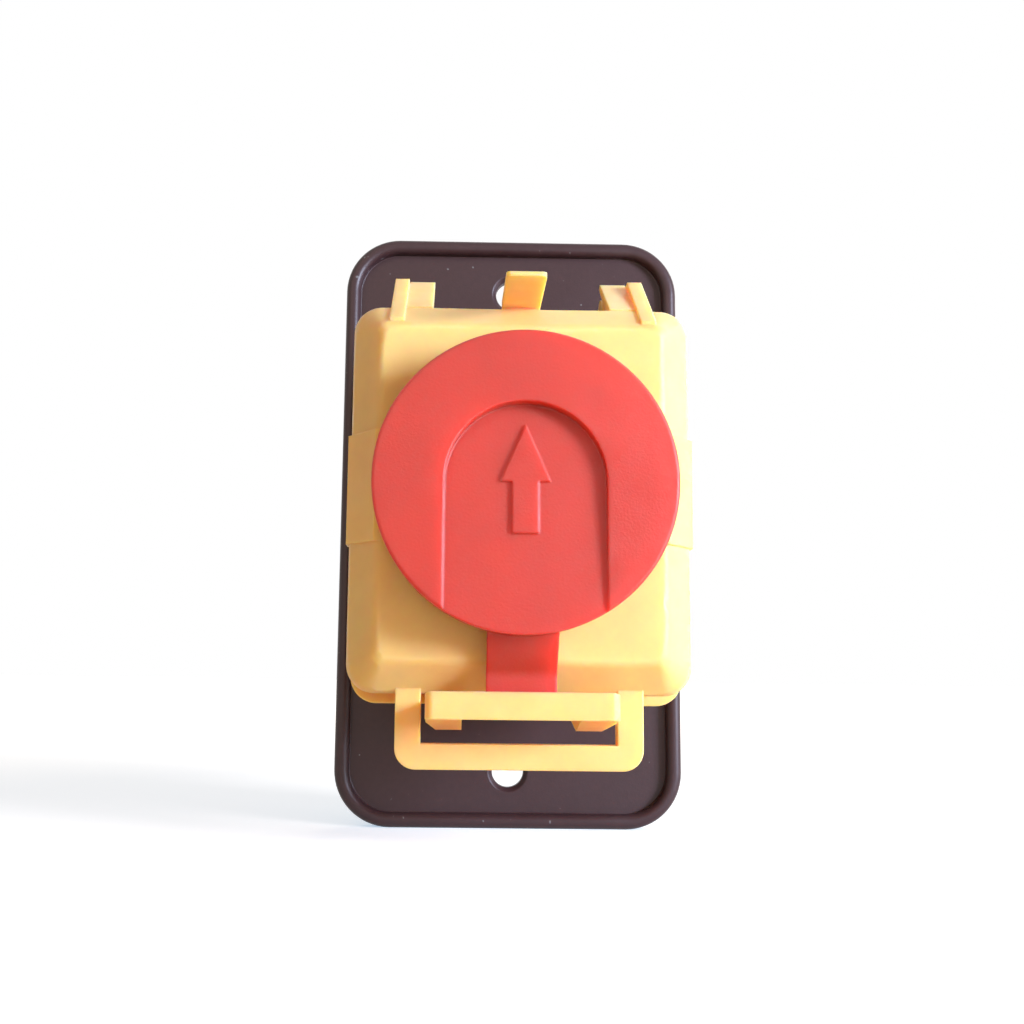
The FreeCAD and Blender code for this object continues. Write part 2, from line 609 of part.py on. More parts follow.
def tilt_to_floor(sketch):
    """Lays a sketch in the sloping floor of the recess: deep at the apex, shallow at the edge of the head."""
    slope = "atan(recess_depth / (recess_apex + recess_end))"
    across = Vector(1, 0, 0)
    sketch.AttachmentOffset = Placement(Vector(), Rotation(across, 1))
    bind(sketch, AttachmentOffset__Base__y="-recess_end", AttachmentOffset__Rotation__Angle=f"-({slope})")


def build_recess(body):
    """A horseshoe recess with a raised arrow. Both are drawn in the plane of its floor."""
    arch = new_sketch(body, "knob_recess", "knob_front")
    tilt_to_floor(arch)
    centre = "(recess_apex + recess_end - recess_half)"
    half = size("recess_half")
    middle = Vector(0, size(centre), 0)
    round_top = arch.addGeometry(Part.ArcOfCircle(Part.Circle(middle, Vector(0, 0, 1), half), 0, math.pi))
    pin_point(arch, round_top, 3, "0", centre)
    constrain(arch, "Radius", "recess_half", round_top)
    left = arch.addGeometry(Part.LineSegment(Vector(-half, middle.y, 0), Vector(-half, 0, 0)))
    foot = arch.addGeometry(Part.LineSegment(Vector(-half, 0, 0), Vector(half, 0, 0)))
    right = arch.addGeometry(Part.LineSegment(Vector(half, 0, 0), Vector(half, middle.y, 0)))
    arch.addConstraint(Sketcher.Constraint("Tangent", round_top, 2, left, 1))
    arch.addConstraint(Sketcher.Constraint("Coincident", left, 2, foot, 1))
    arch.addConstraint(Sketcher.Constraint("Coincident", foot, 2, right, 1))
    arch.addConstraint(Sketcher.Constraint("Tangent", right, 2, round_top, 1))
    arch.addConstraint(Sketcher.Constraint("PointOnObject", left, 2, -1))
    arch.addConstraint(Sketcher.Constraint("Horizontal", foot))
    new_pocket(body, arch, "2 * recess_depth", reverse=True)
    arrow = new_sketch(body, "knob_arrow", "knob_front")
    tilt_to_floor(arrow)
    right_side = [("shaft_half", "recess_end - arrow_foot"), ("shaft_half", "recess_end - arrow_neck"),
                  ("arrow_half", "recess_end - arrow_neck")]
    left_side = [(f"-{x}", y) for x, y in reversed(right_side)]
    draw_polygon(arrow, right_side + [("0", "recess_end + arrow_tip")] + left_side)
    new_pad(body, arrow, "arrow_relief")


def build_tongue(body):
    """The tongue slopes down from the rim of the head, over the lower edge of the flap, to a flat hook.

    The hook ends level with the top of the staple's bar. It slips behind the bar when the head is slid down.
    """
    tongue = new_sketch(body, "latch_tongue", "-tongue_half", "YZ_Plane")
    root = "-(knob_diameter / 2 - knob_wall / 2)"
    hook = "(bar_front - bar_thickness - hook_gap)"
    draw_polygon(tongue, side_points([
        ("tongue_start", root),
        (hook, "-tongue_knee"),
        (hook, "-tongue_end"),
        (f"{hook} - tongue_thickness", "-tongue_end"),
        (f"{hook} - tongue_thickness", "-tongue_knee"),
        ("flap_front + tongue_gap", "-(flap_bottom - face_inset)"),
        ("tongue_start - tongue_root", root)]))
    new_pad(body, tongue, "2 * tongue_half")
    knee_depth, knee_height = size(hook), -size("tongue_knee")

    def knee(edge):
        box = edge.BoundBox
        along = box.YLength < NEAR and box.ZLength < NEAR
        return along and abs(box.Center.y + knee_depth) < NEAR and abs(box.Center.z - knee_height) < NEAR
    round_edges(body, knee, "tongue_round")


def build_retainer():
    back = "flap_front - flap_wall - slide_gap"
    body = new_body("knob_retainer")
    plate = new_sketch(body, "retainer_plate", f"{back} - retainer_thickness")
    draw_rounded_box(plate, "retainer_width / 2", "stem_z + retainer_height / 2",
                     "retainer_height / 2 - stem_z", "retainer_thickness")
    for side in ("", "-"):
        draw_circle(plate, f"{side}retainer_pitch / 2", "stem_z", "retainer_screw + 2 * screw_gap")
    new_pad(body, plate, "retainer_thickness")
    finish_part(body, "knob_retainer")
    screws = [new_screw(f"retainer_screw_{number}", f"{side}retainer_pitch / 2",
                        f"-({back} - retainer_thickness - retainer_head_height)", "stem_z", "retainer_head",
                        "retainer_head_height", "retainer_screw - thread_gap",
                        "retainer_head_height + retainer_thickness + retainer_screw_length - screw_end_gap",
                        True, False)
              for number, side in enumerate(("", "-"))]
    finish_part(new_group("retainer_screws", screws), "retainer_screws")


# Switch case

def build_switch_body():
    body = new_body("switch_body")
    case = new_sketch(body, "case_outline", "-body_depth")
    draw_rounded_box(case, "body_width / 2", "body_height / 2", "body_height / 2", "body_corner")
    new_pad(body, case, "body_depth + plate_floor")
    lip = new_sketch(body, "case_flange", "flange_recess - flange_thickness")
    draw_rounded_box(lip, "body_width / 2 + flange_lip", "body_height / 2 + flange_lip",
                     "body_height / 2 + flange_lip", "bezel_corner")
    new_pad(body, lip, "flange_thickness")
    cavity = new_sketch(body, "case_cavity", "-body_depth")
    draw_polygon(cavity, rectangle("body_width / 2 - body_wall", "body_height / 2 - body_wall",
                                   "body_height / 2 - body_wall"))
    new_pocket(body, cavity, "body_depth + plate_floor - deck", reverse=True)
    bosses = new_sketch(body, "case_bosses", "plate_floor + bezel_depth - bezel_screw_length - deck")
    bores = new_sketch(body, "case_bores", "plate_floor")
    stems = new_sketch(body, "case_stems", "plate_floor")
    for side in ("", "-"):
        draw_circle(bosses, f"{side}bezel_screw_x", "0", "bezel_boss")
        draw_circle(bores, f"{side}bezel_screw_x", "0", "bezel_screw_bore")
        draw_circle(stems, "0", f"{side}button_pitch / 2", "stem_diameter + 2 * stem_gap")
    new_pad(body, bosses, "bezel_screw_length - bezel_depth + deck - deck / 2")
    new_pocket(body, bores, "bezel_screw_length - bezel_depth")
    new_pocket(body, stems, "2 * deck")
    finish_part(body, "switch_body")


def blade_slots():
    """Centre height of every pair of blades at the back."""
    return ["button_pitch / 2 + pole_pitch / 2", "button_pitch / 2 - pole_pitch / 2", "-button_pitch / 2"]


BLADE_OUTER = "(body_width / 2 - body_wall - fit_gap)"


def build_rear_cover():
    body = new_body("rear_cover")
    plate = new_sketch(body, "cover_plate", "-body_depth - cover_thickness")
    draw_rounded_box(plate, "body_width / 2", "body_height / 2", "body_height / 2", "body_corner")
    new_pad(body, plate, "cover_thickness")
    for side, name in (("", "top"), ("-", "bottom")):
        outer = f"{side}(body_height / 2 - body_wall - fit_gap)"
        inner = f"{side}(body_height / 2 - body_wall - fit_gap - snap_thickness)"
        tab = new_sketch(body, f"cover_tab_{name}", "-body_depth - cover_thickness / 2")
        draw_polygon(tab, [("-snap_width / 2", inner), ("snap_width / 2", inner),
                           ("snap_width / 2", outer), ("-snap_width / 2", outer)])
        new_pad(body, tab, "snap_depth + cover_thickness / 2")
    slots = new_sketch(body, "cover_slots", "-body_depth")
    for level in blade_slots():
        for side in ("", "-"):
            near = f"{side}({BLADE_OUTER} - blade_thickness - fit_gap)"
            far = f"{side}({BLADE_OUTER} + fit_gap)"
            low = f"{level} - blade_width / 2 - fit_gap"
            high = f"{level} + blade_width / 2 + fit_gap"
            draw_polygon(slots, [(near, low), (far, low), (far, high), (near, high)])
    new_pocket(body, slots, "2 * cover_thickness")
    finish_part(body, "rear_cover")


def build_bezel():
    body = new_body("switch_bezel")
    block = new_sketch(body, "bezel_outline", "plate_floor")
    draw_rounded_box(block, "body_width / 2 + flange_lip", "body_height / 2 + flange_lip",
                     "body_height / 2 + flange_lip", "bezel_corner")
    new_pad(body, block, "bezel_depth")
    bevel_edges(body, at_depth("plate_floor + bezel_depth"), "bezel_lip / 2")
    windows = new_sketch(body, "bezel_windows", "plate_floor + bezel_depth")
    wells = new_sketch(body, "bezel_wells", "plate_floor")
    for side in ("", "-"):
        middle = f"({side}button_pitch / 2)"
        draw_level_box(windows, middle, "button_width / 2 + button_gap", "button_height / 2 + button_gap")
        draw_level_box(wells, middle, "button_width / 2 + button_step + button_gap",
                       "button_height / 2 + button_step + button_gap")
    new_pocket(body, windows, "2 * bezel_depth")
    new_pocket(body, wells, "bezel_depth - bezel_lip", reverse=True)
    bores = new_sketch(body, "bezel_bores", "plate_floor + bezel_depth")
    heads = new_sketch(body, "bezel_heads", "plate_floor + bezel_depth")
    for side in ("", "-"):
        draw_circle(bores, f"{side}bezel_screw_x", "0", "bezel_screw_bore + 2 * screw_gap")
        draw_circle(heads, f"{side}bezel_screw_x", "0", "bezel_screw_head + 2 * screw_gap")
    new_pocket(body, bores, "2 * bezel_depth")
    new_pocket(body, heads, "bezel_head_sunk + bezel_head_height")
    finish_part(body, "switch_bezel")
    screws = [new_screw(f"bezel_screw_{number}", f"{side}bezel_screw_x",
                        "-(plate_floor + bezel_depth - bezel_head_sunk)", "0", "bezel_screw_head",
                        "bezel_head_height", "bezel_screw_bore - thread_gap",
                        "bezel_screw_length - bezel_head_sunk - screw_end_gap", False, False)
              for number, side in enumerate(("", "-"))]
    finish_part(new_group("bezel_screws", screws), "bezel_screws")


def draw_level_box(sketch, middle, half_width, half_height):
    """A rectangle centred on the height middle."""
    draw_polygon(sketch, [(f"-({half_width})", f"{middle} - ({half_height})"),
                          (half_width, f"{middle} - ({half_height})"),
                          (half_width, f"{middle} + {half_height}"),
                          (f"-({half_width})", f"{middle} + {half_height}")])


# Buttons and their springs

FLANGE_FRONT = "(plate_floor + bezel_depth - bezel_lip - fit_gap)"
SPRING_TOP = "(plate_floor + bezel_depth - button_roof)"


def build_button(name, middle, proud, stem_end):
    """A push button: head with a stop flange, bored for its spring, on a stem that goes through the deck."""
    body = new_body(name)
    head = new_sketch(body, name + "_head", f"{FLANGE_FRONT} - button_flange")
    draw_level_box(head, middle, "button_width / 2", "button_height / 2")
    new_pad(body, head, f"plate_floor + bezel_depth + {proud} - {FLANGE_FRONT} + button_flange")
    half, height, centre = size("button_width / 2"), size("button_height / 2"), size(middle)

    def upright_corner(edge):
        box = edge.BoundBox
        at_corner = abs(abs(box.Center.x) - half) < NEAR and abs(abs(box.Center.z - centre) - height) < NEAR
        return at_corner and box.XLength < NEAR and box.ZLength < NEAR
    round_edges(body, upright_corner, "button_corner")
    bevel_edges(body, at_depth(f"plate_floor + bezel_depth + {proud}"), "button_edge")
    flange = new_sketch(body, name + "_flange", f"{FLANGE_FRONT} - button_flange")
    draw_level_box(flange, middle, "button_width / 2 + button_step - button_gap",
                   "button_height / 2 + button_step - button_gap")
    new_pad(body, flange, "button_flange")
    bore = new_sketch(body, name + "_bore", f"{FLANGE_FRONT} - button_flange")
    draw_circle(bore, "0", middle, "button_bore")
    new_pocket(body, bore, f"{SPRING_TOP} - {FLANGE_FRONT} + button_flange", reverse=True)
    stem = new_sketch(body, name + "_stem", f"-({stem_end})")
    draw_circle(stem, "0", middle, "stem_diameter")
    new_pad(body, stem, f"{SPRING_TOP} + {stem_end} + button_roof / 2")
    finish_part(body, name)


def build_buttons():
    build_button("start_button", "(button_pitch / 2)", "start_proud", "carrier_front")
    build_button("stop_button", "(-button_pitch / 2)", "stop_proud", "stop_contact_depth")
    for name, middle in (("start_spring", "button_pitch / 2"), ("stop_spring", "-button_pitch / 2")):
        spring = new_spring(name, middle, f"-{SPRING_TOP}", f"({SPRING_TOP} - plate_floor)")
        finish_part(spring, name)


# Contacts and magnet

CARRIER_BACK = "(carrier_front + carrier_depth)"
CORE_FRONT = "(carrier_front + carrier_depth + armature_thickness + button_travel + hold_gap)"
BRIDGE_BACK = "(carrier_front + carrier_depth / 2)"
CONTACT_FACE = f"({BRIDGE_BACK} + button_travel + contact_gap)"


def build_carriage():
    middle = "button_pitch / 2"
    block = new_box("carrier_block", "-carrier_width / 2", "carrier_front", f"{middle} - carrier_height / 2",
                    "carrier_width", "carrier_depth", "carrier_height")
    bridges = []
    windows = []
    for number, side in enumerate(("", "-")):
        level = f"{middle} {side or '+'} pole_pitch / 2"
        bridges.append(new_box(f"bridge_{number}", "-bridge_length / 2", f"{BRIDGE_BACK} - blade_thickness",
                               f"{level} - bridge_width / 2", "bridge_length", "blade_thickness",
                               "bridge_width"))
        windows.append(new_box(f"carrier_window_{number}", "-carrier_width",
                               f"{BRIDGE_BACK} - blade_thickness - fit_gap / 2",
                               f"{level} - bridge_width / 2 - fit_gap / 2", "2 * carrier_width",
                               "blade_thickness + fit_gap", "bridge_width + fit_gap"))
    finish_part(new_cut("contact_carrier", block, new_group("carrier_windows", windows)), "contact_carrier")
    finish_part(new_group("moving_contacts", bridges), "moving_contacts")
    armature = new_box("armature", "-armature_width / 2", CARRIER_BACK, f"{middle} - armature_height / 2",
                       "armature_width", "armature_thickness", "armature_height")
    finish_part(armature, "armature")


def build_magnet():
    middle = "button_pitch / 2"
    length = f"(body_depth - {CORE_FRONT})"
    low = f"{middle} - armature_height / 2"
    back = new_box("core_back", "-core_width / 2", "body_depth - core_leg", low, "core_width", "core_leg",
                   "armature_height")
    legs = [new_box(f"core_leg_{number}", x, CORE_FRONT, low, "core_leg", length, "armature_height")
            for number, x in enumerate(("-core_width / 2", "core_width / 2 - core_leg"))]
    post = new_rod("core_middle", "0", CORE_FRONT, middle, "core_post", length)
    finish_part(new_fuse("magnet_core", [back, post] + legs), "magnet_core")
    front = f"({CORE_FRONT} + bobbin_wall / 2)"
    span = f"(body_depth - core_leg - fit_gap - {front})"
    tube = new_rod("bobbin_tube", "0", front, middle, "core_post + 2 * bobbin_wall + 2 * fit_gap", span)
    flanges = [new_rod(f"bobbin_flange_{number}", "0", y, middle, "bobbin_flange", "bobbin_wall")
               for number, y in enumerate((front, f"{front} + {span} - bobbin_wall"))]
    hole = new_rod("bobbin_hole", "0", f"{front} - bobbin_wall", middle, "core_post + 2 * fit_gap",
                   f"{span} + 2 * bobbin_wall")
    finish_part(new_cut("coil_bobbin", new_fuse("bobbin_blank", [tube] + flanges), hole), "coil_bobbin")
    roll = new_rod("winding_roll", "0", f"{front} + bobbin_wall", middle, "winding_diameter",
                   f"{span} - 2 * bobbin_wall")
    core = new_rod("winding_core", "0", front, middle, "core_post + 2 * bobbin_wall + 2 * fit_gap", span)
    finish_part(new_cut("coil_winding", roll, core), "coil_winding")


def new_terminal(name, side, level, contact_face):
    """A contact strip: an arm towards the middle at its front, and a blade through the cover at its back."""
    low = f"{level} - blade_width / 2"
    tip = "body_depth + cover_thickness + blade_length"
    strip_x = f"{BLADE_OUTER} - blade_thickness" if side > 0 else f"-{BLADE_OUTER}"
    arm_x = f"{BLADE_OUTER} - arm_reach" if side > 0 else f"-{BLADE_OUTER}"
    strip = new_box(name + "_strip", strip_x, contact_face, low, "blade_thickness", f"{tip} - {contact_face}",
                    "blade_width")
    arm = new_box(name + "_arm", arm_x, contact_face, f"{level} - bridge_width / 2", "arm_reach",
                  "blade_thickness", "bridge_width")
    hole = doc.addObject("Part::Cylinder", name + "_hole")
    hole.Placement = Placement(Vector(), TURN_TO_RIGHT)
    bind(hole, Placement__Base__x="-body_width" if side < 0 else "0", Placement__Base__z=level,
         Placement__Base__y=f"{tip} - blade_length / 2", Radius="blade_hole / 2", Height="body_width")
    return new_cut(name, new_fuse(name + "_blank", [strip, arm]), hole)


def build_terminals():
    poles = blade_slots()
    line = [new_terminal(f"line_{number}_{'right' if side > 0 else 'left'}", side, level, CONTACT_FACE)
            for number, level in enumerate(poles[:2]) for side in (1, -1)]
    finish_part(new_group("line_terminals", line), "line_terminals")
    stop_face = "(stop_contact_depth - blade_thickness - contact_gap)"
    stop = [new_terminal(f"stop_{'right' if side > 0 else 'left'}", side, poles[2], stop_face)
            for side in (1, -1)]
    finish_part(new_group("stop_terminals", stop), "stop_terminals")
    bridge = new_box("stop_contact", "-stop_bridge_length / 2", "stop_contact_depth",
                     "-button_pitch / 2 - bridge_width / 2", "stop_bridge_length", "blade_thickness",
                     "bridge_width")
    finish_part(bridge, "stop_contact")


# Pins and screws

def build_fasteners():
    pins = []
    for number, x in enumerate(("lug_inner", "-rib_outer")):
        pin = doc.addObject("Part::Cylinder", f"hinge_pin_{number}")
        pin.Placement = Placement(Vector(), TURN_TO_RIGHT)
        pins.append(bind(pin, Placement__Base__x=x, Placement__Base__y="-hinge_depth",
                         Placement__Base__z="hinge_z", Radius="hinge_pin / 2",
                         Height="rib_outer - lug_inner"))
    finish_part(new_group("hinge_pins", pins), "hinge_pins")
    screws = [new_screw(f"frame_screw_{number}", x, "0", z, "screw_head", "(screw_head - screw_diameter) / 2",
                        "screw_diameter - thread_gap", "screw_length", True, True)
              for number, (x, z) in enumerate(screw_places())]
    finish_part(new_group("frame_screws", screws), "frame_screws")


build_base_plate()
build_hinge_frame()
build_flap_cover()
build_mushroom_head()
build_retainer()
build_switch_body()
build_rear_cover()
build_bezel()
build_buttons()
build_carriage()
build_magnet()
build_terminals()
build_fasteners()
doc.recompute()

for thing in doc.Objects:
    if "Invalid" in thing.State or "Error" in thing.State:
        raise RuntimeError(f"{thing.Name} did not build: {thing.State}")
os.makedirs("parts", exist_ok=True)
for thing in parts:
    if thing.Shape.isNull() or not thing.Shape.isValid():
        raise RuntimeError(f"{thing.Label} has no valid shape")
for thing in parts:
    thing.Shape.exportStep(f"parts/{thing.Label}.step")
    print(thing.Label, len(thing.Shape.Solids), round(thing.Shape.Volume, 2))
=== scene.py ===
"""Looks of the no-volt release switch: materials, shading, button signs, springs, camera, light and floor.

Everything is in metres in the frame of the part: the front faces -Y, +Z is up, the panel is the plane y = 0.
"""
import bmesh
import bpy
import math
from collections import namedtuple
from mathutils import Matrix, Vector


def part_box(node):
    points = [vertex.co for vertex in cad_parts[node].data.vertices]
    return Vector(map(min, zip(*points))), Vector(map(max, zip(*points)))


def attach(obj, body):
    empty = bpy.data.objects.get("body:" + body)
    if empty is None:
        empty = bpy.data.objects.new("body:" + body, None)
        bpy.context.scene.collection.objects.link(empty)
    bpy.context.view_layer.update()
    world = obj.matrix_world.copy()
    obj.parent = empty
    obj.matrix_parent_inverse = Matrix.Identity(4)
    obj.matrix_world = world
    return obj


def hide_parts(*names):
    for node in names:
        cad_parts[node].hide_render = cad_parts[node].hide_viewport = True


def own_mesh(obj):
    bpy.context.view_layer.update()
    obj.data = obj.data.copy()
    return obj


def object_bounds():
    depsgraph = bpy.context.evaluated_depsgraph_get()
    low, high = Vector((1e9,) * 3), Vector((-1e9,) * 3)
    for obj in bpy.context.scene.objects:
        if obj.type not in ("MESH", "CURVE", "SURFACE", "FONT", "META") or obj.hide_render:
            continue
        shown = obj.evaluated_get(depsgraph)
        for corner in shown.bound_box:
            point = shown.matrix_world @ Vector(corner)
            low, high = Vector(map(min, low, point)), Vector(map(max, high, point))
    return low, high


MM = 0.001

# The camera as fitted to the photograph: place in millimetres, turns in degrees, the rest in pixels.
PHOTO_SIZE = 1024
CAMERA_PLACE = Vector((-9.0, -195.9, -26.3))
CAMERA_PITCH = 7.32
CAMERA_YAW = -0.79
CAMERA_ROLL = 0.76
FOCAL_PIXELS = 1094.4
CENTRE_PIXEL = (474.1, 533.7)
SENSOR_WIDTH = 36.0
NEAREST_VIEW = 5 * MM

# Linear colours of the materials
BLACK_PLATE = (0.033, 0.0155, 0.0165)
BLACK_CASE = (0.022, 0.022, 0.024)
YELLOW = (0.93, 0.52, 0.19)
RED = (0.47, 0.034, 0.018)
BUTTON_GREEN = (0.022, 0.25, 0.065)
BUTTON_RED = (0.52, 0.018, 0.016)
NATURAL = (0.68, 0.64, 0.52)
STEEL = (0.55, 0.54, 0.52)
IRON = (0.20, 0.19, 0.18)
BRASS = (0.70, 0.50, 0.20)
COPPER = (0.62, 0.25, 0.11)
WHITE = (0.82, 0.82, 0.80)
DUST_GREY = 0.13

# How far red, green and blue light go inside a plastic, as shares of its reach
YELLOW_GLOW = (1.0, 0.5, 0.16)
RED_GLOW = (1.0, 0.08, 0.05)
NATURAL_GLOW = (1.0, 0.7, 0.4)

# Most of a noise texture lies between these values.
NOISE_LOW = 0.3
NOISE_HIGH = 0.7
PATCH_LOW = 0.35
PATCH_HIGH = 0.65

PLASTIC_IOR = 1.49
EDGE_SAMPLES = 8

# A wave texture's phase in radians, for a place and a scale of one
WAVE_RATE = 20.0

# Shading
WELD_DISTANCE = 0.002 * MM
FLAT_ANGLE = math.radians(0.5)
CREASE_ANGLE = math.radians(35)
SOFT_NODES = ("flap_cover", "hinge_frame", "mushroom_head", "base_plate", "switch_bezel", "switch_body",
              "rear_cover", "start_button", "stop_button")

# Button signs
SIGN_HEIGHT = 0.15 * MM
SIGN_SEAT = SIGN_HEIGHT / 10
BAR_HALF_WIDTH = 0.5 * MM
BAR_HALF_LENGTH = 2.6 * MM
RING_OUTSIDE = 2.7 * MM
RING_INSIDE = 1.8 * MM
RING_STEPS = 48

# Floor and light. The floor is lifted to white where it is seen, and less so near the object's shadow.
FLOOR = (0.78, 0.66, 0.50)
FLOOR_NEAR = (0.40, 0.54, 0.68)
FLOOR_FAR = (0.80, 0.87, 0.94)
LIFT_START = 0.12
LIFT_END = 0.42
FLOOR_REACH = 4.0
FLOOR_ROUGHNESS = 0.9
AMBIENT = (1.0, 0.74, 0.46)
AMBIENT_STRENGTH = 0.34
KEY_COLOUR = (0.90, 1.0, 1.30)
FILL_COLOUR = (1.0, 0.72, 0.50)
BACK_COLOUR = (1.0, 1.0, 1.0)

Glow = namedtuple("Glow", "share reach colours")


# Node trees

def opaque(colour):
    """A colour with its alpha."""
    return colour + (1.0,)


def grey(value):
    """A grey with its alpha."""
    return (value, value, value, 1.0)


def shade(colour, factor):
    """A colour with its alpha, lighter or darker by a factor."""
    return tuple(min(channel * factor, 1.0) for channel in colour) + (1.0,)


def new_material(name):
    """A material, its node tree and its Principled shader."""
    material = bpy.data.materials.new(name)
    material.use_nodes = True
    tree = material.node_tree
    return material, tree, tree.nodes["Principled BSDF"]


def object_place(tree):
    """The place of a point in its own object, so that textures are fixed to the piece."""
    return tree.nodes.new("ShaderNodeTexCoord").outputs["Object"]


def noise(tree, grain, detail=3.0):
    """Noise whose lumps are about grain metres across."""
    place = object_place(tree)
    texture = tree.nodes.new("ShaderNodeTexNoise")
    texture.inputs["Scale"].default_value = 1 / grain
    texture.inputs["Detail"].default_value = detail
    tree.links.new(place, texture.inputs["Vector"])
    return texture.outputs["Fac"]


def ramp(tree, factor, stops):
    """Colours or greys along a factor, from (position, colour) pairs."""
    node = tree.nodes.new("ShaderNodeValToRGB")
    first, last = node.color_ramp.elements
    first.position, first.color = stops[0]
    last.position, last.color = stops[-1]
    for position, colour in stops[1:-1]:
        node.color_ramp.elements.new(position).color = colour
    tree.links.new(factor, node.inputs["Fac"])
    return node.outputs["Color"]


def add_mottled_colour(tree, shader, colour, darkest, palest, patch):
    """A colour that wanders between two shades of itself over patches of a given size."""
    stops = [(NOISE_LOW, shade(colour, darkest)), (NOISE_HIGH, shade(colour, palest))]
    tree.links.new(ramp(tree, noise(tree, patch), stops), shader.inputs["Base Color"])


def add_rough_patches(tree, shader, low, high, patch):
    """Roughness that wanders between two values over patches of a given size."""
    stops = [(PATCH_LOW, grey(low)), (PATCH_HIGH, grey(high))]
    tree.links.new(ramp(tree, noise(tree, patch), stops), shader.inputs["Roughness"])


def add_bump(tree, shader, height, depth, edge=0.0):
    """Relief of about depth metres. Edges look rounded by a radius where one is given."""
    bump = tree.nodes.new("ShaderNodeBump")
    bump.inputs["Distance"].default_value = depth
    tree.links.new(height, bump.inputs["Height"])
    if edge:
        rounding = tree.nodes.new("ShaderNodeBevel")
        rounding.samples = EDGE_SAMPLES
        rounding.inputs["Radius"].default_value = edge
        tree.links.new(rounding.outputs["Normal"], bump.inputs["Normal"])
    tree.links.new(bump.outputs["Normal"], shader.inputs["Normal"])


# Materials

def moulded_plastic(name, colour, rough, grain, depth, edge, gloss=0.2, glow=None):
    """Moulded plastic with a spark-eroded grain and slight mottling.

    Gloss is the strength of its sheen. Glow gives the share of light that goes inside it, how far that goes
    and how far each colour does.
    """
    material, tree, shader = new_material(name)
    add_mottled_colour(tree, shader, colour, darkest=0.94, palest=1.05, patch=9 * MM)
    add_rough_patches(tree, shader, low=rough - 0.05, high=rough + 0.06, patch=4 * MM)
    add_bump(tree, shader, noise(tree, grain), depth, edge)
    shader.inputs["IOR"].default_value = PLASTIC_IOR
    shader.inputs["Specular IOR Level"].default_value = gloss
    if glow:
        shader.inputs["Subsurface Weight"].default_value = glow.share
        shader.inputs["Subsurface Radius"].default_value = glow.colours
        shader.inputs["Subsurface Scale"].default_value = glow.reach
    return material


def plate_plastic(name, colour):
    """Black plastic with a fine grain and a few pale specks of dust."""
    speck, speck_edge, speck_core = 1.1 * MM, 0.755, 0.80
    material, tree, shader = new_material(name)
    stops = [(0.0, shade(colour, 0.9)), (speck_edge, shade(colour, 1.1)), (speck_core, grey(DUST_GREY))]
    tree.links.new(ramp(tree, noise(tree, speck, detail=1.0), stops), shader.inputs["Base Color"])
    add_rough_patches(tree, shader, low=0.37, high=0.44, patch=6 * MM)
    add_bump(tree, shader, noise(tree, grain=0.45 * MM), depth=0.02 * MM, edge=0.4 * MM)
    shader.inputs["IOR"].default_value = PLASTIC_IOR
    shader.inputs["Specular IOR Level"].default_value = 0.35
    return material


def plain_metal(name, colour, rough):
    """Metal with a tarnish that wanders and a fine rolled surface."""
    material, tree, shader = new_material(name)
    add_mottled_colour(tree, shader, colour, darkest=0.8, palest=1.1, patch=2.5 * MM)
    shader.inputs["Metallic"].default_value = 1.0
    add_rough_patches(tree, shader, low=rough - 0.08, high=rough + 0.1, patch=1.5 * MM)
    add_bump(tree, shader, noise(tree, grain=0.3 * MM), depth=0.004 * MM)
    return material


def wound_copper(name, colour, wire):
    """Enamelled wire of a given thickness, wound along Y, one ridge for each turn."""
    material, tree, shader = new_material(name)
    place = object_place(tree)
    wave = tree.nodes.new("ShaderNodeTexWave")
    wave.bands_direction = "Y"
    wave.inputs["Scale"].default_value = 2 * math.pi / (WAVE_RATE * wire)
    tree.links.new(place, wave.inputs["Vector"])
    # painted shade: the wire colour darkens to under half in the grooves between turns, following the bump's
    # wave
    stops = [(0.0, shade(colour, 0.45)), (1.0, shade(colour, 1.0))]
    tree.links.new(ramp(tree, wave.outputs["Fac"], stops), shader.inputs["Base Color"])
    shader.inputs["Metallic"].default_value = 1.0
    shader.inputs["Roughness"].default_value = 0.3
    shader.inputs["Coat Weight"].default_value = 0.5
    add_bump(tree, shader, wave.outputs["Fac"], depth=wire / 2)
    return material


def button_plastic(name, colour):
    """The smooth, glossy plastic of a push button."""
    return moulded_plastic(name, colour, rough=0.28, grain=0.5 * MM, depth=0.004 * MM, edge=0.25 * MM)


